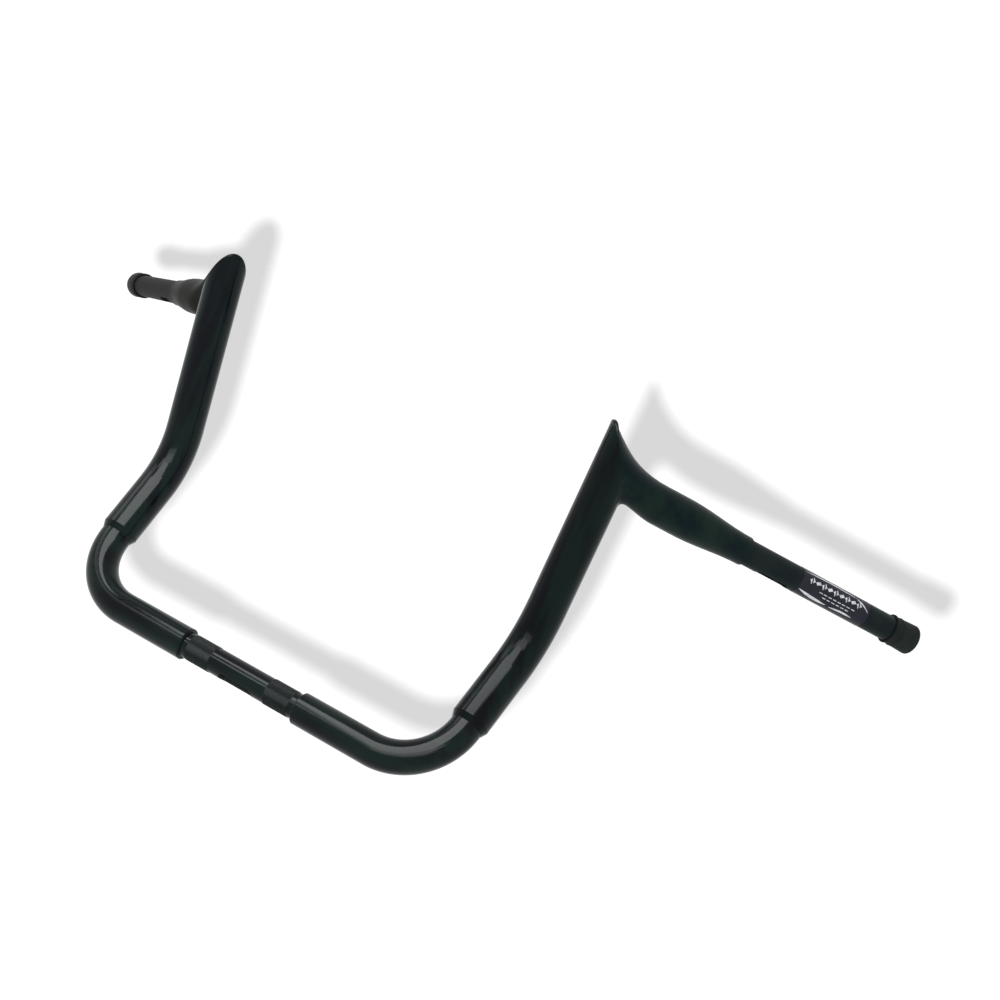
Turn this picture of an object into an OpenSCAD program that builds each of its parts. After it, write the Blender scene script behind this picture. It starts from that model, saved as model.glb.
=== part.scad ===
// Pointed ape hanger handlebar, welded up from telescoping tubes.
// Frame: the origin is on the axis of the centre tube, midway between the two riser clamps.
// +X points to the rider's left hand, +Y points back to the rider and +Z points up.

/* [Centre tube] */
// Outside diameter of the centre tube
clamp_d = 25.4; // [24.4:0.1:26.4]
// Wall of the centre tube
clamp_wall = 3; // [2:0.1:4]
// Length of centre tube that shows between the bend tubes
clamp_span = 134; // [128:1:150]
// Depth of centre tube hidden in each bend tube
clamp_insert = 18; // [12:1:26]
// Distance between the middles of the two knurled bands
knurl_centres = 94; // [88:1:98]
// Width of each knurled band
knurl_w = 28; // [20:1:31]
// Height of the knurled bands above the tube
knurl_h = 0.2; // [0.2:0.05:0.5]
// Length of the wiring hole under the centre tube
exit_l = 41; // [28:1:50]
// Width of the wiring hole under the centre tube
exit_w = 13; // [10:0.5:16]

/* [Bend tubes] */
// Outside diameter of the two bend tubes
bend_d = 31.75; // [30.5:0.05:33]
// Centre-line radius of the two lower bends
bend_r = 63.5; // [56:0.5:70]
// Distance between the two lower corners of the centre line
base_w = 417; // [400:1:440]
// Depth of bend tube hidden in each upright
bend_insert = 22; // [14:1:28]
// Radial gap where one tube slides into the next
sleeve_gap = 0.15; // [0.1:0.05:0.25]
// Chamfer on the mouths of the bend tubes
mouth_chamfer = 1.2; // [0.6:0.1:1.8]

/* [Uprights] */
// Outside diameter of the uprights
upright_d = 38.1; // [37:0.1:39.5]
// Lean of the lower uprights back to the rider, in degrees
lower_lean = 40.5; // [34:0.5:46]
// Outward splay of the lower uprights, in degrees
lower_splay = 2.9; // [1:0.1:5]
// Centre-line length from the lower corner to the kink
lower_len = 164.5; // [158:0.5:185]
// Length of bend tube that shows between the bend and the upright
foot_gap = 1.5; // [0:0.5:8]
// Width of the sloped shoulder at the foot of each upright
foot_chamfer = 2.8; // [1:0.1:2.9]
// Height of the sloped shoulder at the foot of each upright
foot_chamfer_h = 6; // [3:0.5:10]
// Centre-line radius of the kink
kink_r = 100; // [85:1:115]
// Lean of the upper uprights back to the rider, in degrees
upper_lean = 0; // [-5:0.5:5]
// Outward splay of the upper uprights, in degrees
upper_splay = 3.8; // [1:0.1:6]
// Centre-line length from the kink to the grip line
upper_len = 172; // [160:1:200]
// Height of the point above the grip line
point_rise = 51; // [44:0.5:58]
// Depth of the crotch of the mitre below the grip line
crotch_drop = 17; // [12:0.5:22]

/* [Horns] */
// Sweep of the grips back to the rider, in degrees
grip_sweep = 39.5; // [32:0.5:45]
// Droop of the grips below level, in degrees
grip_droop = 10; // [4:0.5:15]
// Length of the horn along the grip line
horn_len = 157; // [150:1:170]
// Distance along the grip line at which the horn has become round
horn_round_at = 58; // [54:1:64]
// Distance along the grip line at which the horn starts to taper
horn_taper_at = 84; // [76:1:95]
// Outside diameter of the small end of the horn
horn_end_d = 28.6; // [28:0.1:31]
// Wall of the horn
horn_wall = 3; // [2:0.1:4]
// How far the horn's upper edge runs out flat from the point
point_flat = 25; // [18:0.5:30]
// How far that edge falls over the same run
point_fall = 9; // [4:0.5:14]
// Easing of the upper edge into the round stretch
upper_ease = 43.5; // [34:0.5:48]
// Run of the lower edge out of the crotch
crotch_run = 10; // [5:0.5:14]
// Fall of the lower edge over the same run
crotch_fall = 0.5; // [0:0.5:4]
// Easing of the lower edge into the round stretch
lower_ease = 11; // [8:0.5:20]

/* [Grip tubes] */
// Outside diameter of the grip tubes
grip_d = 25.4; // [24.4:0.1:25.8]
// Wall of the grip tubes
grip_wall = 3; // [2:0.1:4]
// Distance along the grip line to the end of the grip tube
grip_end = 362; // [350:1:380]
// Depth of grip tube hidden in the horn
grip_insert = 24; // [16:1:32]
// Distance from the horn to the wiring slot
slot_from = 19; // [10:1:24]
// Length of the wiring slot
slot_l = 38; // [26:1:42]
// Width of the wiring slot
slot_w = 11; // [8:0.5:13]
// Turn of the wiring slot from straight down to the front, in degrees
slot_turn = 18; // [0:1:30]

/* [End caps] */
// Overall length of an end cap
cap_l = 30; // [24:1:36]
// Wall of an end cap at its closed end
cap_wall = 2.3; // [1.8:0.1:2.8]
// Wall of an end cap at its mouth
cap_mouth_wall = 1.1; // [0.8:0.1:1.6]
// Thickness of the closed end of a cap
cap_floor = 3; // [2.4:0.1:5]
// Rounding of the closed end of a cap
cap_round = 2.2; // [1:0.1:2.4]
// Radial gap between a cap and its tube
cap_gap = 0.1; // [0.05:0.05:0.2]

/* [Grip label] */
// Distance from the label to the end cap
label_gap = 34; // [26:1:36]
// Length of the label along the tube
label_l = 82; // [60:1:92]
// Part of the tube that the label wraps, in degrees
label_wrap = 250; // [200:5:300]
// Turn of the label's middle from straight up to the front, in degrees
label_turn = 40; // [0:5:60]
// Thickness of the label's film
label_t = 0.2; // [0.15:0.05:0.3]
// Radial gap of glue under the label
glue_gap = 0.05; // [0.02:0.01:0.1]

/* [Hidden] */

$fn = 72;
// Facets round a horn, and rings along its two stretches
horn_facets = 40;
point_rings = 12;
taper_rings = 10;
bore_rings = 5;
// Overshoot that keeps a cutting tool clear of the face it cuts
cut = 1;
// A bend is a hair fatter than its straight runs, which lap into it
swell = 0.05;
lap = 0.4;
// Edge of the block that cuts the point of an upright
mitre_block = 200;

// Radii and lengths worked out from the sizes above
clamp_r = clamp_d / 2;
bend_bore_r = clamp_r + sleeve_gap;
bend_tube_r = bend_d / 2;
upright_bore_r = bend_tube_r + sleeve_gap;
upright_r = upright_d / 2;
grip_r = grip_d / 2;
grip_bore_r = grip_r - grip_wall;
horn_end_r = horn_end_d / 2;
horn_bore_r = grip_r + sleeve_gap;
cap_bore_r = grip_r + cap_gap;
cap_r = cap_bore_r + cap_wall;
cap_mouth_at = grip_end + cap_floor - cap_l;
label_at = cap_mouth_at - label_gap - label_l;

// Directions of the lower upright, the upper upright and the grip on the left side
function heading(lean, splay) = [sin(splay), cos(splay) * sin(lean), cos(splay) * cos(lean)];
lower_dir = heading(lower_lean, lower_splay);
upper_dir = heading(upper_lean, upper_splay);
grip_dir = [
    cos(grip_droop) * cos(grip_sweep),
    cos(grip_droop) * sin(grip_sweep),
    -sin(grip_droop),
];

// The lower bend turns from the centre tube's axis to the lower upright
bend_angle = 90 - lower_splay;
bend_tangent = bend_r * tan(bend_angle / 2);
foot_at = bend_tangent + foot_gap;

// The kink turns from the lower to the upper upright, in a plane rolled about the lower one
lower_side = [cos(lower_splay), -sin(lower_splay) * sin(lower_lean), -sin(lower_splay) * cos(lower_lean)];
lower_back = cross(lower_dir, lower_side);
kink_angle = acos(lower_dir * upper_dir);
kink_roll = atan2(upper_dir * lower_side, -(upper_dir * lower_back));
kink_tangent = kink_r * tan(kink_angle / 2);

// Axes of the upper upright's frame, after the roll and the kink
upper_side = cos(kink_roll) * lower_side + sin(kink_roll) * lower_back;
upper_back = cross(upper_dir, upper_side);
horn_roll = atan2(grip_dir * upper_back, grip_dir * upper_side);
grip_dip = asin(-(grip_dir * upper_dir));

// Corners of the mitre, in the plane of the upright and the grip: across, then up
point_tip = [-upright_r, point_rise];
crotch = [upright_r, -crotch_drop];
mitre_angle = atan2(crotch.x - point_tip.x, point_tip.y - crotch.y);
mitre_mid = (point_tip + crotch) / 2;

// Unit vectors of the grip line in that plane, along it and square to it
along = [cos(grip_dip), -sin(grip_dip)];
square = [sin(grip_dip), cos(grip_dip)];

// A cubic curve through four control points
function bezier(p, t) =
    pow(1 - t, 3) * p[0] + 3 * t * pow(1 - t, 2) * p[1]
    + 3 * t * t * (1 - t) * p[2] + t * t * t * p[3];

// Upper edge of the horn, from the point down to its round stretch
round_top = along * horn_round_at + square * upright_r;
upper_edge = [
    point_tip,
    point_tip + [point_flat, -point_fall],
    round_top - along * upper_ease,
    round_top,
];
// Lower edge of the horn, from the crotch to its round stretch
round_under = along * horn_round_at - square * upright_r;
lower_edge = [
    crotch,
    crotch + [crotch_run, -crotch_fall],
    round_under - along * lower_ease,
    round_under,
];

// Radius of the horn past its round stretch: straight, then eased down to its small end
function ease(t) = (1 - cos(180 * min(1, max(0, t)))) / 2;
function horn_r(d) =
    upright_r + (horn_end_r - upright_r) * ease((d - horn_taper_at) / (horn_len - horn_taper_at));

// A station of the horn is its upper and lower edge points and its half width, less a wall
function point_station(t, wall) =
    let (top = bezier(upper_edge, t), under = bezier(lower_edge, t), inward = (top - under) / norm(top - under))
    [top - inward * wall, under + inward * wall, upright_r - wall];
function taper_station(d, r) = [along * d + square * r, along * d - square * r, r];

// One ring of points round a station: an ellipse in the plane of its two edge points
function ring(s, n) = [
    for (i = [0 : n - 1])
        let (a = 360 * i / n, mid = (s[0] + s[1]) / 2, arm = (s[0] - s[1]) / 2)
        [mid.x + arm.x * cos(a), s[2] * sin(a), mid.y + arm.y * cos(a)]
];

outer_stations = concat(
    [for (i = [0 : point_rings - 1]) point_station(i / point_rings, 0)],
    [for (i = [0 : taper_rings])
        let (d = horn_round_at + (horn_len - horn_round_at) * i / taper_rings) taper_station(d, horn_r(d))]
);
// The bore follows the outside to the seat of the grip tube, then is one size to the end
seat_at = horn_len - grip_insert;
inner_stations = concat(
    [for (i = [0 : 2 : point_rings - 1]) point_station(i / point_rings, horn_wall)],
    [for (i = [0 : bore_rings])
        let (d = horn_round_at + (seat_at - horn_round_at) * i / bore_rings)
        taper_station(d, max(horn_r(d) - horn_wall, grip_bore_r))],
    [taper_station(seat_at, horn_bore_r), taper_station(horn_len, horn_bore_r)]
);

// A closed skin over the outer rings and back through the inner ones
module skin(outer, inner, n) {
    rings = concat(outer, [for (i = [len(inner) - 1 : -1 : 0]) inner[i]]);
    count = len(rings);
    points = [for (s = rings) each ring(s, n)];
    faces = [
        for (j = [0 : count - 1], i = [0 : n - 1])
            let (k = (i + 1) % n, m = (j + 1) % count)
            each [[j * n + i, j * n + k, m * n + k], [j * n + i, m * n + k, m * n + i]]
    ];
    polyhedron(points, faces, convexity = 6);
}

// A straight tube up +Z
module tube(r, bore_r, length) {
    difference() {
        cylinder(r = r, h = length);
        translate([0, 0, -cut]) cylinder(r = bore_r, h = length + 2 * cut);
    }
}

// A rod up +Z that bends towards -Y and runs on straight, its foot sloped in if asked
module bent_rod(r, before, radius, angle, after, slope_w = 0, slope_h = 0) {
    if (slope_h > 0) cylinder(r1 = r - slope_w, r2 = r, h = slope_h);
    translate([0, 0, slope_h]) cylinder(r = r, h = before + lap - slope_h);
    translate([0, -radius, before]) {
        rotate([90, 0, 90]) rotate_extrude(angle = angle) translate([radius, 0]) circle(r = r + swell);
        rotate([angle, 0, 0]) translate([0, radius, -lap]) cylinder(r = r, h = after + lap);
    }
}

// A slot with round ends that cuts out along +X, with its length along Z
module slot_cutter(length, width, reach) {
    run = (length - width) / 2;
    rotate([0, 90, 0]) {
        for (end = [-run, run]) translate([end, 0, 0]) cylinder(r = width / 2, h = reach);
        translate([-run, -width / 2, 0]) cube([2 * run, width, reach]);
    }
}

// Frames on the left side, each with +Z along the tube it is named for
module lower_frame() {
    rotate([-lower_lean, 0, 0]) translate([base_w / 2, 0, 0]) rotate([0, lower_splay, 0]) children();
}
module upper_frame() {
    lower_frame() translate([0, 0, lower_len]) rotate([0, 0, kink_roll]) rotate([kink_angle, 0, 0]) children();
}
module horn_frame() {
    upper_frame() translate([0, 0, upper_len]) rotate([0, 0, horn_roll]) children();
}
module grip_frame() {
    horn_frame() rotate([0, 90 + grip_dip, 0]) children();
}
// The right side is the left side mirrored
module right() {
    mirror([1, 0, 0]) children();
}

// Centre tube with its two knurled bands and the wiring hole under it
module centre_clamp_tube() {
    length = clamp_span + 2 * clamp_insert;
    color([0.10, 0.11, 0.11]) rotate([-lower_lean, 0, 0]) rotate([0, 90, 0]) difference() {
        union() {
            translate([0, 0, -length / 2]) cylinder(r = clamp_r, h = length);
            for (side = [-1, 1]) translate([0, 0, side * knurl_centres / 2 - knurl_w / 2])
                cylinder(r = clamp_r + knurl_h, h = knurl_w);
        }
        translate([0, 0, -length / 2 - cut]) cylinder(r = clamp_r - clamp_wall, h = length + 2 * cut);
        slot_cutter(exit_l, exit_w, clamp_r + cut);
    }
}

// Bend tube: a straight socket, the bend, and a straight spigot up into the upright
module bend_tube() {
    socket = base_w / 2 - bend_tangent - clamp_span / 2;
    spigot = foot_gap + bend_insert;
    color([0.07, 0.08, 0.08]) rotate([-lower_lean, 0, 0]) translate([clamp_span / 2, 0, 0])
        rotate([0, 90, 0]) rotate([0, 0, -90]) difference() {
            bent_rod(bend_tube_r, socket, bend_r, bend_angle, spigot, mouth_chamfer, mouth_chamfer);
            translate([0, 0, -cut]) bent_rod(bend_bore_r, socket + cut, bend_r, bend_angle, spigot + cut);
        }
}

// Upright: a straight foot, the kink, and a straight run cut off to the point
module upright_tube() {
    foot = lower_len - kink_tangent - foot_at;
    top = upper_len + point_rise - kink_tangent + cut;
    color([0.05, 0.07, 0.07]) difference() {
        lower_frame() translate([0, 0, foot_at]) rotate([0, 0, kink_roll]) difference() {
            bent_rod(upright_r, foot, kink_r, kink_angle, top, foot_chamfer, foot_chamfer_h);
            translate([0, 0, -cut]) bent_rod(upright_bore_r, foot + cut, kink_r, kink_angle, top + cut);
        }
        horn_frame() translate([mitre_mid.x, 0, mitre_mid.y]) rotate([0, -mitre_angle, 0])
            translate([0, -mitre_block / 2, -mitre_block / 2]) cube(mitre_block);
    }
}

// Horn: a hollow skin from the mitre's long ellipse to a round end that takes the grip tube
module horn() {
    color([0.11, 0.12, 0.12]) horn_frame() skin(outer_stations, inner_stations, horn_facets);
}

// Grip tube with its wiring slot underneath, just past the horn
module grip_tube() {
    length = grip_end - seat_at;
    color([0.14, 0.15, 0.15]) grip_frame() difference() {
        translate([0, 0, seat_at]) tube(grip_r, grip_bore_r, length);
        translate([0, 0, horn_len + slot_from + slot_l / 2]) rotate([0, 0, -slot_turn])
            slot_cutter(slot_l, slot_w, grip_r + cut);
    }
}

// End cap: a soft cup that is pushed over the end of the grip tube and flares to its closed end
module end_cap() {
    color([0.02, 0.02, 0.02]) grip_frame() translate([0, 0, cap_mouth_at]) rotate_extrude() difference() {
        union() {
            polygon([[0, 0], [cap_bore_r + cap_mouth_wall, 0], [cap_r, cap_l - cap_round], [0, cap_l - cap_round]]);
            square([cap_r - cap_round, cap_l]);
            translate([cap_r - cap_round, cap_l - cap_round]) circle(r = cap_round);
        }
        translate([-cap_r, -cut]) square([cap_r, cap_l + 2 * cut]);
        translate([0, -cut]) square([cap_bore_r, cap_l - cap_floor + cut]);
    }
}

// Label: a thin film wrapped round the left grip, open at the back
module grip_label() {
    start = 180 + label_turn - label_wrap / 2;
    color([0.16, 0.18, 0.26]) grip_frame() translate([0, 0, label_at]) rotate([0, 0, start])
        rotate_extrude(angle = label_wrap) translate([grip_r + glue_gap, 0]) square([label_t, label_l]);
}

centre_clamp_tube();
bend_tube();  // left_bend_tube
right() bend_tube();  // right_bend_tube
upright_tube();  // left_upright_tube
right() upright_tube();  // right_upright_tube
horn();  // left_horn
right() horn();  // right_horn
grip_tube();  // left_grip_tube
right() grip_tube();  // right_grip_tube
end_cap();  // left_end_cap
right() end_cap();  // right_end_cap
grip_label();
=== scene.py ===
"""Looks of the ape hanger handlebar: paint, knurling, welds, label, soft caps, studio and camera."""
import math

import bpy
from mathutils import Euler, Matrix, Vector
from mathutils.bvhtree import BVHTree


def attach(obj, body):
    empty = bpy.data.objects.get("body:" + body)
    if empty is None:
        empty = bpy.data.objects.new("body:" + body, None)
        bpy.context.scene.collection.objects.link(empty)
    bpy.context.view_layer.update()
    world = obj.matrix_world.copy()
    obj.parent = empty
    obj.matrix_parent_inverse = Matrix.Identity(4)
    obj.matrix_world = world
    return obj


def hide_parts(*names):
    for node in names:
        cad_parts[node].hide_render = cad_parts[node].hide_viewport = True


# Lengths are in metres, angles in degrees and powers in watts. Left and right are the rider's. The
# photograph looks at the bar from its left, so the left half is near and the right half is far.

# Camera that was solved from the photograph
CAMERA_AT = (0.6478, -1.1578, 0.5189)
CAMERA_TURN = (77.4388, -20.2509, 26.3927)
CAMERA_LENS_MM = 53.563
SENSOR_MM = 36.0
CAMERA_REACH = 100.0

# Pale sheet behind the bar, square to the view, and the lamp beside the camera that casts the shadow on it
SHEET_AWAY = 12.0
SHEET_SIZE = 13.0
SHEET_COLOUR = (0.690, 0.686, 0.690)
SHADOW_LAMP_OFFSET = (-0.0405, -0.0405)
SHADOW_LAMP_RADIUS = 0.0105
SHADOW_LAMP_POWER = 3700.0

# Soft boxes over and before the bar, all at one height: x from, x to, y from, y to, watts per m2
CEILING = 1.75
PANELS = {
    "overhead": (-1.20, 0.86, -0.95, -0.38, 33.6),
    "front": (-0.96, 0.60, -2.20, -0.95, 32.5),
    "front_low": (-1.10, 1.40, -3.60, -2.20, 20.2),
    "front_far": (-1.60, 2.40, -5.60, -3.60, 10.1),
    "side_strip": (-2.45, -2.05, -0.95, -0.25, 15.7),
    "wash": (-3.40, -1.42, -1.60, -0.30, 7.0),
    "corner": (-1.62, -1.20, -2.70, -1.60, 26.9),
}

# Black flag that draws the thin dark line beside the highlights: x from, x to, y from, y to
FLAG_HEIGHT = 1.74
SIDE_FLAG = (-1.42, -1.20, -1.60, -0.30)

# Driving sizes of the bar, as its solids have them
BASE_W = 0.417
LOWER_LEN = 0.1645
LOWER_LEAN = 40.5
LOWER_SPLAY = 2.9
UPPER_LEN = 0.172
UPPER_LEAN = 0.0
UPPER_SPLAY = 3.8
GRIP_SWEEP = 39.5
GRIP_DROOP = 10.0
UPRIGHT_R = 0.01905
POINT_RISE = 0.051
CROTCH_DROP = 0.017

# Half the height of the slanted mitre, and how high its middle lies above the joint
MITRE_REACH = (POINT_RISE + CROTCH_DROP) / 2
MITRE_MIDDLE = (POINT_RISE - CROTCH_DROP) / 2

# Knurled bands where the risers clamp
KNURL_MIDDLE = 0.047
KNURL_WIDTH = 0.028
KNURL_VALLEY_R = 0.01291
KNURL_DEPTH = 0.00022
KNURL_TEETH = 66
STEPS_PER_TOOTH = 4

# What lies nearer to the centre tube's axis than this is bare steel
BARE_R = 0.0124

# Weld fillet in the crotch between an upright and its horn
WELD_LEG = 0.0078
WELD_HALF_ANGLE = 86.0
WELD_TAPER = 1.5
WELD_THINNEST = 0.00001
WELD_ROWS = 49
WELD_COLUMNS = 9

# Ground weld bead that rounds the nose of a point. Its centre lies inward by a share of its radius.
NOSE_R = 0.0026
NOSE_HALF_ANGLE = 88.0
NOSE_PROUD = 0.0008
NOSE_INWARD = 0.9
NOSE_TAPER = 2.2
NOSE_THINNEST = 0.0001
NOSE_STEPS = 32
BEAD_SIDES = 12

# Hollow in the horn's back: how deep, how far behind the point, and the heights over which it fades in
HOLLOW_DEPTH = 0.0037
HOLLOW_AT = 0.015
HOLLOW_FROM = -0.010
HOLLOW_BLEND = 0.030

# Rings of the soft caps: distance from the mouth towards the closed end, radius and half thickness. The
# first ring is a dark ring of painted shade at the mouth.
CAP_MOUTH_AT = 0.335
CAP_MOUTH_SHADE = (-0.0004, 0.0131, 0.0005)
CAP_LIP = (0.0012, 0.0141, 0.0009)
CAP_LINE = (0.0090, 0.0144, 0.0004)
RING_STEPS = 72
RING_SIDES = 8

# Silver foil on the label: how far it stands off, and where the motif's middle lies round the grip
FOIL_LIFT = 0.00004
FOIL_SHIFT = 0.0093
FOIL_COLUMNS = 7

# The motif's band of tall and low lozenges
LOZENGES_EACH_WAY = 4
LOZENGE_PITCH = 0.0072
LOZENGE_START = -0.001
LOZENGE_LINE = 0.0062
LOZENGE_HALF_LENGTH = 0.0034
LOZENGE_HALF_HEIGHTS = (0.0038, 0.0024)
LOZENGE_SLANT = 0.0014

# The motif's rows of dashes: how many dashes, and the line that they lie on
DASH_ROWS = ((8, -0.0008), (6, -0.0042))
DASH_PITCH = 0.0056
DASH_START = 0.003
DASH_HALF_LENGTH = 0.0020
DASH_HALF_WIDTH = 0.0004

# The motif's bowed darts: start, end, line at the start, line at the end, half width and bow
DARTS = (
    (-0.0390, 0.0250, 0.0125, 0.0125, 0.0010, 0.0020),
    (0.0240, 0.0395, 0.0120, 0.0030, 0.0010, 0.0015),
    (-0.0395, -0.0040, -0.0070, -0.0100, 0.0017, -0.0012),
    (-0.0010, 0.0270, -0.0105, -0.0090, 0.0012, 0.0010),
)
DART_TAPER = 0.7
DART_STEPS = 20

WHITE = (1.0, 1.0, 1.0)
BLACK = (0.0, 0.0, 0.0)

# How many times per metre the tint drifts, drawn out along the uprights, along the base or neither
UPRIGHT_DRIFT = (62.0, 62.0, 9.0)
BASE_DRIFT = (9.0, 62.0, 62.0)
EVEN_DRIFT = (40.0, 40.0, 40.0)

# Where in the drift the dark tint ends and the light one begins, and how rough the patches' outlines are
PATCH_EDGES = (0.40, 0.60)
PATCH_DETAIL = 3.0
GRAIN_DETAIL = 2.0
SHEEN_ROUGHNESS = 0.4

# Paints and plastics: dark and light tint, least and most roughness, and grains per metre and their depth
GLOSS_TINTS = ((0.0003, 0.0018, 0.0040), (0.0024, 0.0120, 0.0100))
COATINGS = {
    "gloss_black": {
        "tints": GLOSS_TINTS, "drift": UPRIGHT_DRIFT, "roughness": (0.09, 0.16),
        "specular": 0.12, "sheen": 0.15, "grain": 320.0, "depth": 0.00001,
    },
    # Copy of the gloss paint with painted shade: darker tints and less gleam for the near upright
    "gloss_black_painted_near_shade": {
        "tints": ((0.0002, 0.0012, 0.0028), (0.0016, 0.0086, 0.0078)), "drift": UPRIGHT_DRIFT,
        "roughness": (0.09, 0.16), "specular": 0.09, "sheen": 0.15, "grain": 320.0, "depth": 0.00001,
    },
    "gloss_black_base": {
        "tints": GLOSS_TINTS, "drift": BASE_DRIFT, "roughness": (0.09, 0.16),
        "specular": 0.12, "sheen": 0.15, "grain": 320.0, "depth": 0.00001,
    },
    "satin_black": {
        "tints": ((0.0050, 0.0115, 0.0130), (0.0085, 0.0195, 0.0160)), "roughness": (0.26, 0.36),
        "specular": 0.005, "gleam": (1.0, 0.67, 0.65), "sheen": 0.3, "grain": 600.0, "depth": 0.00002,
    },
    "grip_black": {
        "tints": ((0.0085, 0.0145, 0.0155), (0.0120, 0.0175, 0.0175)), "roughness": (0.34, 0.46),
        "specular": 0.007, "gleam": (1.0, 0.87, 0.85), "sheen": 0.2, "grain": 800.0, "depth": 0.00002,
    },
    "knurled_black": {
        "tints": ((0.0010, 0.0055, 0.0050), (0.0020, 0.0065, 0.0065)), "roughness": (0.25, 0.35),
        "specular": 0.12, "sheen": 0.1, "grain": 900.0, "depth": 0.00001,
    },
    "cap_vinyl": {
        "tints": ((0.0145, 0.0180, 0.0165), (0.0190, 0.0240, 0.0220)), "roughness": (0.45, 0.60),
        "specular": 0.015, "sheen": 0.05, "grain": 1200.0, "depth": 0.00003,
    },
    "label_film": {
        "tints": ((0.0140, 0.0150, 0.0230), (0.0180, 0.0190, 0.0280)), "roughness": (0.20, 0.30),
        "specular": 0.12, "grain": 700.0, "depth": 0.00001,
    },
    "bare_bore": {
        "tints": ((0.021, 0.025, 0.024), (0.034, 0.039, 0.038)), "roughness": (0.45, 0.60),
        "specular": 0.2, "grain": 900.0, "depth": 0.00002,
    },
    # Copies of the satin, grip and cap finishes with painted far light: flat neutral grey tints, in place
    # of the sheen the far side shows
    "satin_black_painted_far_light": {
        "tints": ((0.0105, 0.0105, 0.0098), (0.0130, 0.0118, 0.0110)), "roughness": (0.26, 0.36),
        "specular": 0.005, "grain": 600.0, "depth": 0.00002,
    },
    "grip_black_painted_far_light": {
        "tints": ((0.0195, 0.0195, 0.0195), (0.0220, 0.0220, 0.0220)), "roughness": (0.34, 0.46),
        "specular": 0.005, "grain": 800.0, "depth": 0.00002,
    },
    "cap_vinyl_painted_far_light": {
        "tints": ((0.0280, 0.0280, 0.0280), (0.0320, 0.0320, 0.0320)), "roughness": (0.45, 0.60),
        "specular": 0.015, "sheen": 0.05, "grain": 1200.0, "depth": 0.00003,
    },
    # Near-black rings of painted shade where a cap meets its grip; the far cap's dark moulded line takes
    # the far one too
    "near_cap_painted_shade": {
        "tints": ((0.0060, 0.0085, 0.0080), (0.0080, 0.0110, 0.0100)), "roughness": (0.50, 0.60),
        "specular": 0.01, "grain": 1200.0, "depth": 0.00001,
    },
    "far_cap_painted_shade_and_line": {
        "tints": ((0.0010, 0.0010, 0.0010), (0.0020, 0.0020, 0.0020)), "roughness": (0.50, 0.60),
        "specular": 0.01, "grain": 1200.0, "depth": 0.00001,
    },
}

# Foil: the tints of its grain, where in the grain they begin and end, and its gloss
FOIL_TINTS = ((0.42, 0.43, 0.47), (0.78, 0.79, 0.82))
FOIL_EDGES = (0.3, 0.7)
FOIL_GRAIN = 420.0
FOIL_ROUGHNESS = 0.35
FOIL_SPECULAR = 0.3

# The record's slot and the coating of each kind of node
LOOKS = {
    "centre_clamp_tube": ("clamp_tube", "gloss_black_base"),
    "bend_tube": ("gloss_black", "gloss_black_base"),
    "upright_tube": ("gloss_black", "gloss_black"),
    "horn": ("satin_black", "satin_black"),
    "grip_tube": ("grip_black", "grip_black"),
    "end_cap": ("cap_vinyl", "cap_vinyl"),
    "grip_label": ("label_film", "label_film"),
}

# Nodes that take a copy of their coating with painted shade or painted far light, darker or greyer than
# others of their kind
PAINTED_LIGHT_COATS = {
    "left_upright_tube": "gloss_black_painted_near_shade",
    "right_horn": "satin_black_painted_far_light",
    "right_grip_tube": "grip_black_painted_far_light",
    "right_end_cap": "cap_vinyl_painted_far_light",
}

# Coatings of a cap's rings: painted shade at the mouth, lip and line
RING_COATINGS = {
    "left": ("near_cap_painted_shade", "cap_vinyl", "cap_vinyl"),
    "right": ("far_cap_painted_shade_and_line", "cap_vinyl_painted_far_light", "far_cap_painted_shade_and_line"),
}

BODY = "root"
SIDES = {"left": 1.0, "right": -1.0}


def heading(lean, splay):
    """Direction of a tube of the left half, from its lean back and its splay out."""
    lean, splay = math.radians(lean), math.radians(splay)
    return Vector((math.sin(splay), math.cos(splay) * math.sin(lean), math.cos(splay) * math.cos(lean)))


def grip_heading():
    """Direction of the left grip, outwards."""
    droop, sweep = math.radians(GRIP_DROOP), math.radians(GRIP_SWEEP)
    return Vector((math.cos(droop) * math.cos(sweep), math.cos(droop) * math.sin(sweep), -math.sin(droop)))


def joint_frame():
    """Where the left grip line meets its upright: the origin, and the axes across, back and up."""
    up = heading(UPPER_LEAN, UPPER_SPLAY)
    origin = Vector((BASE_W / 2, 0, 0)) + LOWER_LEN * heading(LOWER_LEAN, LOWER_SPLAY) + UPPER_LEN * up
    grip = grip_heading()
    across = (grip - grip.dot(up) * up).normalized()
    return origin, across, up.cross(across), up


def mirror_to(side):
    """What is worked out for the left half, brought to a side."""
    return Matrix.Diagonal((SIDES[side], 1.0, 1.0))


def fade_out(turn, half_angle):
    """1 in the middle of a weld, 0 at its two ends."""
    return math.cos(math.radians(90 * turn / half_angle))


def rim_point(degrees, inward=0.0, lower=0.0):
    """A point of the left mitre's rim, from 0 at the point to 180 in the crotch."""
    origin, across, back, up = joint_frame()
    angle = math.radians(degrees)
    height = MITRE_MIDDLE + MITRE_REACH * math.cos(angle) - lower
    radius = UPRIGHT_R - inward
    return origin - across * radius * math.cos(angle) + back * radius * math.sin(angle) + up * height


def new_mesh_object(name, points, faces, smooth=True):
    """An object with a mesh of its own, linked to the scene."""
    mesh = bpy.data.meshes.new(name)
    mesh.from_pydata([tuple(p) for p in points], [], faces)
    mesh.validate()
    if smooth:
        mesh.shade_smooth()
    piece = bpy.data.objects.new(name, mesh)
    bpy.context.scene.collection.objects.link(piece)
    return piece


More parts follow.
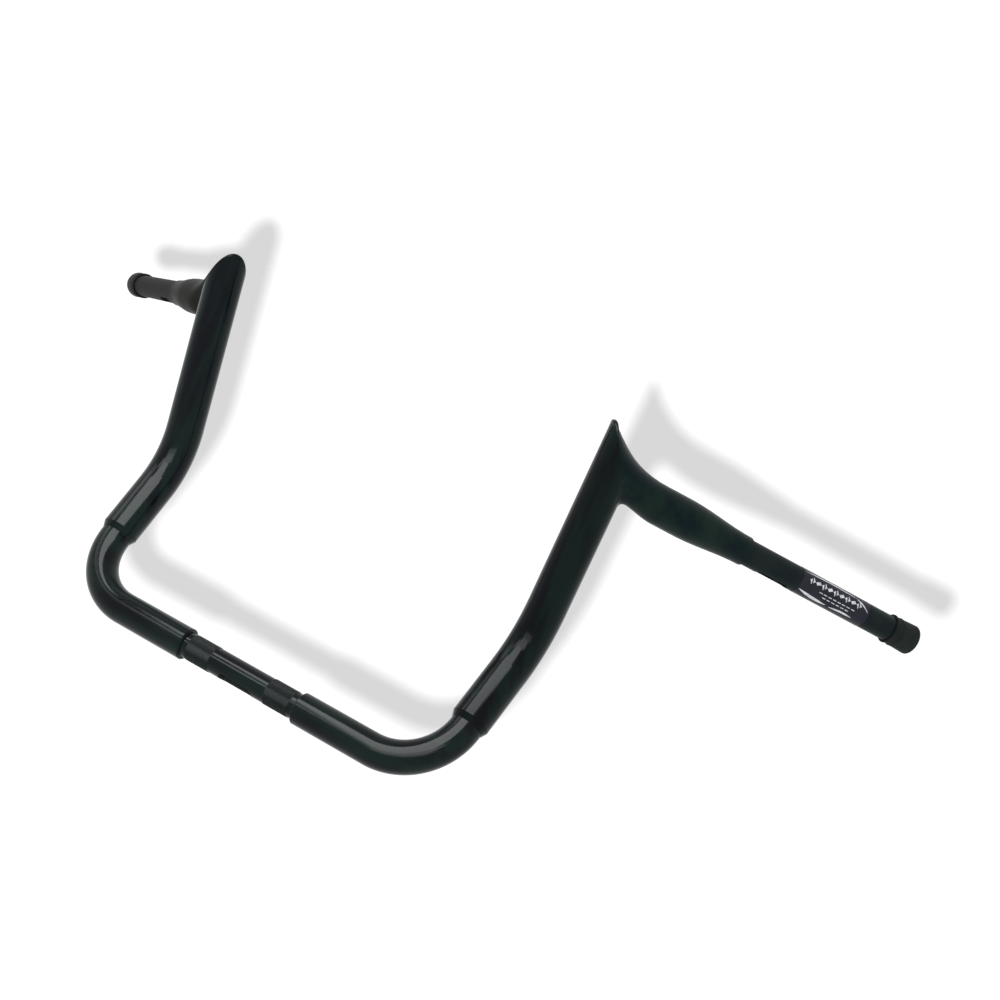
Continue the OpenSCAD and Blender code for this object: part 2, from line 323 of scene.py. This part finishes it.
def grid_faces(rows, columns, closed=False):
    """Quads of a grid of points that is stored row by row."""
    last = columns if closed else columns - 1
    return [
        (r * columns + c, r * columns + (c + 1) % columns,
         (r + 1) * columns + (c + 1) % columns, (r + 1) * columns + c)
        for r in range(rows - 1) for c in range(last)
    ]


def add_piece(piece, material):
    """A piece of the scene's own that rides on the bar."""
    piece.data.materials.append(material)
    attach(piece, BODY)
    return piece


def node(tree, kind, **values):
    """A shader node with its constant inputs set by name."""
    made = tree.nodes.new(kind)
    for name, value in values.items():
        made.inputs[name.replace("_", " ")].default_value = value
    return made


def new_material(name, specular):
    """A material with nodes, together with its node tree and its shader."""
    material = bpy.data.materials.new(name)
    material.use_nodes = True
    tree = material.node_tree
    shader = tree.nodes["Principled BSDF"]
    shader.inputs["Specular IOR Level"].default_value = specular
    return material, tree, shader


def tint_by(tree, texture, shader, edges, tints):
    """Let a texture choose the colour between two tints."""
    ramp = node(tree, "ShaderNodeValToRGB")
    for stop, edge, tint in zip(ramp.color_ramp.elements, edges, tints):
        stop.position = edge
        stop.color = (*tint, 1.0)
    tree.links.new(texture.outputs["Fac"], ramp.inputs["Fac"])
    tree.links.new(ramp.outputs["Color"], shader.inputs["Base Color"])


def coating(name, tints, roughness, specular, grain, depth, drift=EVEN_DRIFT, gleam=WHITE, sheen=0.0):
    """Paint or plastic: its tint and roughness drift in broad patches, over a fine bump."""
    material, tree, shader = new_material(name, specular)
    shader.inputs["Specular Tint"].default_value = (*gleam, 1.0)
    shader.inputs["Sheen Weight"].default_value = sheen
    shader.inputs["Sheen Roughness"].default_value = SHEEN_ROUGHNESS
    where = node(tree, "ShaderNodeTexCoord")

    drawn = node(tree, "ShaderNodeMapping", Scale=drift)
    patches = node(tree, "ShaderNodeTexNoise", Scale=1.0, Detail=PATCH_DETAIL)
    tree.links.new(where.outputs["Object"], drawn.inputs["Vector"])
    tree.links.new(drawn.outputs["Vector"], patches.inputs["Vector"])
    tint_by(tree, patches, shader, PATCH_EDGES, tints)

    polish = node(tree, "ShaderNodeMapRange", To_Min=roughness[0], To_Max=roughness[1])
    tree.links.new(patches.outputs["Fac"], polish.inputs["Value"])
    tree.links.new(polish.outputs["Result"], shader.inputs["Roughness"])

    peel = node(tree, "ShaderNodeTexNoise", Scale=grain, Detail=GRAIN_DETAIL)
    bump = node(tree, "ShaderNodeBump", Distance=depth)
    tree.links.new(where.outputs["Object"], peel.inputs["Vector"])
    tree.links.new(peel.outputs["Fac"], bump.inputs["Height"])
    tree.links.new(bump.outputs["Normal"], shader.inputs["Normal"])
    return material


def foil_material():
    """Silver foil with a fine grain in its brightness."""
    material, tree, shader = new_material("silver_foil", FOIL_SPECULAR)
    shader.inputs["Roughness"].default_value = FOIL_ROUGHNESS
    where = node(tree, "ShaderNodeTexCoord")
    grain = node(tree, "ShaderNodeTexNoise", Scale=FOIL_GRAIN, Detail=GRAIN_DETAIL)
    tree.links.new(where.outputs["Object"], grain.inputs["Vector"])
    tint_by(tree, grain, shader, FOIL_EDGES, FOIL_TINTS)
    return material


def dress(name, material):
    """A copy of a CAD node that stands for it, with its own material."""
    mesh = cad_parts[name].data.copy()
    piece = bpy.data.objects.new(name + "_skin", mesh)
    bpy.context.scene.collection.objects.link(piece)
    mesh.materials.clear()
    add_piece(piece, material)
    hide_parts(name)
    return piece


def hollow_back(piece, side):
    """Hollow the back of the horn where it climbs to the point, down to nothing at the rim and the grip."""
    mirror = mirror_to(side)
    origin, across, _, up = joint_frame()
    slope = MITRE_REACH / UPRIGHT_R
    normal = (across * slope + up).normalized()
    tip = rim_point(0)
    for vertex in piece.data.vertices:
        place = mirror @ vertex.co
        away = max(0.0, (place - tip).dot(normal)) / HOLLOW_AT
        height = (place - origin).dot(up)
        share = min(1.0, max(0.0, (height - HOLLOW_FROM) / HOLLOW_BLEND))
        share = share * share * (3 - 2 * share)
        vertex.co -= mirror @ (normal * HOLLOW_DEPTH * (away * math.exp(1 - away)) ** 2 * share)
    piece.data.update()


def bare_bore(piece, material):
    """Bare steel on the inside of the centre tube and on the cut walls of its wiring hole."""
    piece.data.materials.append(material)
    for face in piece.data.polygons:
        if math.hypot(face.center.y, face.center.z) < BARE_R:
            face.material_index = 1


def triangle_wave(t):
    """0 at whole numbers, 1 halfway between them."""
    return 1.0 - abs(2.0 * (t - math.floor(t)) - 1.0)


def knurl_band(name, middle, material):
    """Diamond knurling rolled into the centre tube where a riser clamps it."""
    columns = KNURL_TEETH * STEPS_PER_TOOTH
    pitch = 2 * math.pi * KNURL_VALLEY_R / KNURL_TEETH
    rows = round(KNURL_WIDTH / pitch) * STEPS_PER_TOOTH + 1
    points = []
    for row in range(rows):
        along = row / STEPS_PER_TOOTH
        x = middle + KNURL_WIDTH * (row / (rows - 1) - 0.5)
        fade = min(1.0, 2.0 * min(row, rows - 1 - row) / STEPS_PER_TOOTH)
        for column in range(columns):
            around = column / STEPS_PER_TOOTH
            crest = min(triangle_wave(around + along), triangle_wave(around - along))
            radius = KNURL_VALLEY_R + KNURL_DEPTH * crest * fade
            angle = 2 * math.pi * column / columns
            points.append((x, radius * math.cos(angle), radius * math.sin(angle)))
    piece = new_mesh_object(name, points, grid_faces(rows, columns, closed=True), smooth=False)
    return add_piece(piece, material)


def weld_fillet(side, material):
    """A ground weld that rounds the crotch between an upright and its horn."""
    up = joint_frame()[3]
    mirror = mirror_to(side)
    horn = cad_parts[side + "_horn"].data
    surface = BVHTree.FromPolygons([v.co for v in horn.vertices], [p.vertices for p in horn.polygons])
    points = []
    for row in range(WELD_ROWS):
        turn = WELD_HALF_ANGLE * (2 * row / (WELD_ROWS - 1) - 1)
        leg = WELD_LEG * fade_out(turn, WELD_HALF_ANGLE) ** WELD_TAPER + WELD_THINNEST
        rim = rim_point(180 + turn)
        foot = rim - up * leg
        toe = mirror @ surface.find_nearest(mirror @ (rim + grip_heading() * leg))[0]
        for column in range(WELD_COLUMNS):
            t = column / (WELD_COLUMNS - 1)
            points.append(mirror @ ((1 - t) ** 2 * foot + 2 * t * (1 - t) * rim + t * t * toe))
    piece = new_mesh_object(side + "_weld", points, grid_faces(WELD_ROWS, WELD_COLUMNS))
    return add_piece(piece, material)


def tube_along(name, centres, radii, sides, closed=False):
    """A round bead along a row of centres, with its own radius at each."""
    points = []
    count = len(centres)
    for index, (centre, radius) in enumerate(zip(centres, radii)):
        after = centres[(index + 1) % count] if closed else centres[min(index + 1, count - 1)]
        before = centres[index - 1] if closed else centres[max(index - 1, 0)]
        tangent = (after - before).normalized()
        first = tangent.orthogonal() if index == 0 else first - first.dot(tangent) * tangent
        first = first.normalized()
        second = tangent.cross(first)
        for side in range(sides):
            angle = 2 * math.pi * side / sides
            points.append(centre + radius * (math.cos(angle) * first + math.sin(angle) * second))
    faces = grid_faces(count, sides, closed=True)
    if closed:
        start = len(points) - sides
        faces += [(start + s, start + (s + 1) % sides, (s + 1) % sides, s) for s in range(sides)]
    return new_mesh_object(name, points, faces)


def nose_bead(side, material):
    """The ground weld along the top of the mitre, which leaves the point with a rounded nose."""
    mirror = mirror_to(side)
    centres, radii = [], []
    for step in range(NOSE_STEPS + 1):
        turn = NOSE_HALF_ANGLE * (2 * step / NOSE_STEPS - 1)
        radius = NOSE_R * fade_out(turn, NOSE_HALF_ANGLE) ** NOSE_TAPER + NOSE_THINNEST
        centres.append(mirror @ rim_point(turn, inward=NOSE_INWARD * radius, lower=radius - NOSE_PROUD))
        radii.append(radius)
    return add_piece(tube_along(side + "_nose", centres, radii, BEAD_SIDES), material)


def cap_ring(name, side, from_mouth, radius, thickness, material):
    """A ring round a cap, at a distance from its mouth."""
    mirror = mirror_to(side)
    axis = grip_heading()
    first = axis.orthogonal().normalized()
    second = axis.cross(first)
    middle = joint_frame()[0] + (CAP_MOUTH_AT + from_mouth) * axis
    turns = [2 * math.pi * step / RING_STEPS for step in range(RING_STEPS)]
    centres = [mirror @ (middle + radius * (math.cos(a) * first + math.sin(a) * second)) for a in turns]
    ring = tube_along(name, centres, [thickness] * RING_STEPS, RING_SIDES, closed=True)
    return add_piece(ring, material)


def cap_rings(side, shade_material, lip_material, line_material):
    """The shade at a cap's mouth, its rolled lip and a moulded line further on."""
    cap_ring(side + "_cap_mouth_shade", side, *CAP_MOUTH_SHADE, shade_material)
    cap_ring(side + "_cap_lip", side, *CAP_LIP, lip_material)
    cap_ring(side + "_cap_line", side, *CAP_LINE, line_material)


class LabelSheet:
    """The label as a flat sheet: a place along it and round it gives a point on the grip."""

    def __init__(self):
        self.axis = grip_heading()
        self.origin = joint_frame()[0]
        offsets = [v.co - self.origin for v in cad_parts["grip_label"].data.vertices]
        places = [offset.dot(self.axis) for offset in offsets]
        self.middle = (min(places) + max(places)) / 2
        radial = [offset - place * self.axis for offset, place in zip(offsets, places)]
        self.radius = max(r.length for r in radial)
        self.top = sum(radial, Vector()).normalized()
        self.side = self.axis.cross(self.top)

    def point(self, along, round_it):
        """A point of the foil, outwards from the label's middle and up from the motif's middle."""
        angle = (FOIL_SHIFT - round_it) / self.radius
        outwards = math.cos(angle) * self.top + math.sin(angle) * self.side
        return self.origin + (self.middle + along) * self.axis + (self.radius + FOIL_LIFT) * outwards


def foil_shape(name, label, stations):
    """Foil between two edges: each station is a place along the label and the two edges there."""
    points = []
    for along, low, high in stations:
        for column in range(FOIL_COLUMNS):
            points.append(label.point(along, low + (high - low) * column / (FOIL_COLUMNS - 1)))
    return new_mesh_object(name, points, grid_faces(len(stations), FOIL_COLUMNS))


def dart(start, end, line_start, line_end, half_width, bow):
    """Stations of a dart that is pointed at both ends and bowed across the label."""
    stations = []
    for step in range(DART_STEPS + 1):
        t = step / DART_STEPS
        swell = math.sin(math.pi * t)
        middle = line_start + (line_end - line_start) * t + bow * swell
        width = half_width * swell ** DART_TAPER
        stations.append((start + (end - start) * t, middle - width, middle + width))
    return stations


def lozenge(middle, half_height):
    """Stations of a lozenge whose upper and lower corners lean along the label."""
    inner = half_height * (LOZENGE_HALF_LENGTH - LOZENGE_SLANT) / (LOZENGE_HALF_LENGTH + LOZENGE_SLANT)
    return [
        (middle - LOZENGE_HALF_LENGTH, LOZENGE_LINE, LOZENGE_LINE),
        (middle - LOZENGE_SLANT, LOZENGE_LINE - half_height, LOZENGE_LINE + inner),
        (middle + LOZENGE_SLANT, LOZENGE_LINE - inner, LOZENGE_LINE + half_height),
        (middle + LOZENGE_HALF_LENGTH, LOZENGE_LINE, LOZENGE_LINE),
    ]


def dash(middle, line):
    """Stations of a short bar along the label."""
    low, high = line - DASH_HALF_WIDTH, line + DASH_HALF_WIDTH
    return [(middle - DASH_HALF_LENGTH, low, high), (middle + DASH_HALF_LENGTH, low, high)]


def label_motif(material):
    """A plain silver motif: a band of lozenges over fine dashes, between long bowed darts."""
    label = LabelSheet()
    shapes = []
    for index in range(-LOZENGES_EACH_WAY, LOZENGES_EACH_WAY + 1):
        shapes.append(lozenge(LOZENGE_PITCH * index + LOZENGE_START, LOZENGE_HALF_HEIGHTS[index % 2]))
    for dashes, line in DASH_ROWS:
        for index in range(dashes):
            shapes.append(dash(DASH_PITCH * (index - (dashes - 1) / 2) + DASH_START, line))
    for sizes in DARTS:
        shapes.append(dart(*sizes))
    for number, stations in enumerate(shapes):
        add_piece(foil_shape(f"label_foil_{number + 1}", label, stations), material)


def dress_nodes(coats):
    """Every CAD node gets a skin in its coating, and what only the scene changes on it."""
    for name in sorted(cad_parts):
        kind = name.removeprefix("left_").removeprefix("right_")
        slot, coat = LOOKS[kind]
        # Some nodes take a copy of their coating with painted shade or painted far light in its tint
        skin = dress(name, coats[PAINTED_LIGHT_COATS.get(name, coat)])
        if kind == "horn":
            hollow_back(skin, name.removesuffix("_horn"))
        if kind == "centre_clamp_tube":
            bare_bore(skin, coats["bare_bore"])


def add_details(coats):
    """Knurling, welds, beads and cap rings on both sides, and the foil on the label."""
    for side, sign in SIDES.items():
        knurl_band(side + "_knurl", sign * KNURL_MIDDLE, coats["knurled_black"])
        weld_fillet(side, coats["satin_black"])
        nose_bead(side, coats["gloss_black"])
        cap_rings(side, *[coats[name] for name in RING_COATINGS[side]])
    label_motif(foil_material())


def place_camera():
    """The camera at the photograph's place."""
    camera = bpy.data.cameras.new("camera")
    camera.lens = CAMERA_LENS_MM
    camera.sensor_width = SENSOR_MM
    camera.sensor_fit = "HORIZONTAL"
    camera.clip_end = CAMERA_REACH
    holder = bpy.data.objects.new("camera", camera)
    holder.location = CAMERA_AT
    holder.rotation_euler = Euler([math.radians(a) for a in CAMERA_TURN], "XYZ")
    bpy.context.scene.collection.objects.link(holder)
    bpy.context.scene.camera = holder
    bpy.context.view_layer.update()
    return holder


def flat_sheet(name, x_from, x_to, y_from, y_to, colour):
    """A flat sheet without gloss, for what stands round the object."""
    corners = [(x_from, y_from, 0), (x_to, y_from, 0), (x_to, y_to, 0), (x_from, y_to, 0)]
    sheet = new_mesh_object(name, corners, [(0, 1, 2, 3)], smooth=False)
    material, _, shader = new_material(name, 0.0)
    shader.inputs["Base Color"].default_value = (*colour, 1.0)
    shader.inputs["Roughness"].default_value = 1.0
    sheet.data.materials.append(material)
    return sheet


def place_sheet(camera):
    """A pale sheet square to the view, and a lamp beside the camera that casts the shadow on it."""
    half = SHEET_SIZE / 2
    sheet = flat_sheet("backdrop", -half, half, -half, half, SHEET_COLOUR)
    sheet.matrix_world = camera.matrix_world @ Matrix.Translation((0, 0, -SHEET_AWAY))
    sheet.visible_glossy = False
    sheet.visible_diffuse = False
    lit = bpy.data.collections.new("lit_by_shadow_lamp")
    lit.objects.link(sheet)
    lamp = bpy.data.lights.new("shadow_lamp", "POINT")
    lamp.shadow_soft_size = SHADOW_LAMP_RADIUS
    lamp.energy = SHADOW_LAMP_POWER
    holder = bpy.data.objects.new("shadow_lamp", lamp)
    bpy.context.scene.collection.objects.link(holder)
    holder.matrix_world = camera.matrix_world @ Matrix.Translation((*SHADOW_LAMP_OFFSET, 0))
    holder.light_linking.receiver_collection = lit


def hang_panel(name, x_from, x_to, y_from, y_to, density):
    """A soft box that faces straight down and shows as a highlight in the gloss."""
    lamp = bpy.data.lights.new(name, "AREA")
    lamp.shape = "RECTANGLE"
    lamp.size = x_to - x_from
    lamp.size_y = y_to - y_from
    lamp.energy = density * lamp.size * lamp.size_y
    holder = bpy.data.objects.new(name, lamp)
    bpy.context.scene.collection.objects.link(holder)
    holder.location = ((x_from + x_to) / 2, (y_from + y_to) / 2, CEILING)
    holder.visible_camera = False
    holder.visible_diffuse = False


def hang_flag():
    """A black flag beside the soft boxes, which only the gloss sees."""
    flag = flat_sheet("side_flag", *SIDE_FLAG, BLACK)
    flag.location.z = FLAG_HEIGHT
    flag.visible_camera = False
    flag.visible_diffuse = False
    flag.visible_shadow = False


def light_world():
    """An even white studio all round, which the gloss shows too."""
    world = bpy.data.worlds.new("studio")
    world.use_nodes = True
    background = world.node_tree.nodes["Background"]
    background.inputs["Color"].default_value = (*WHITE, 1.0)
    background.inputs["Strength"].default_value = 1.0
    bpy.context.scene.world = world
    bpy.context.scene.view_settings.view_transform = "Standard"


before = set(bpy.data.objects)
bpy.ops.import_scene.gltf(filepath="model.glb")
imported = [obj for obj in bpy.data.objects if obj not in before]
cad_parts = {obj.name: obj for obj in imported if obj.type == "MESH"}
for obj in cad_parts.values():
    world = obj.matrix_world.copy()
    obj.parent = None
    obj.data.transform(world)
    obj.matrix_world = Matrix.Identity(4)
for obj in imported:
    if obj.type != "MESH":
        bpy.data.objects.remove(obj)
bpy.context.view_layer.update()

coatings = {name: coating(name, **settings) for name, settings in COATINGS.items()}
dress_nodes(coatings)
add_details(coatings)

place_sheet(place_camera())
light_world()
for panel_name, panel in PANELS.items():
    hang_panel(panel_name, *panel)
hang_flag()
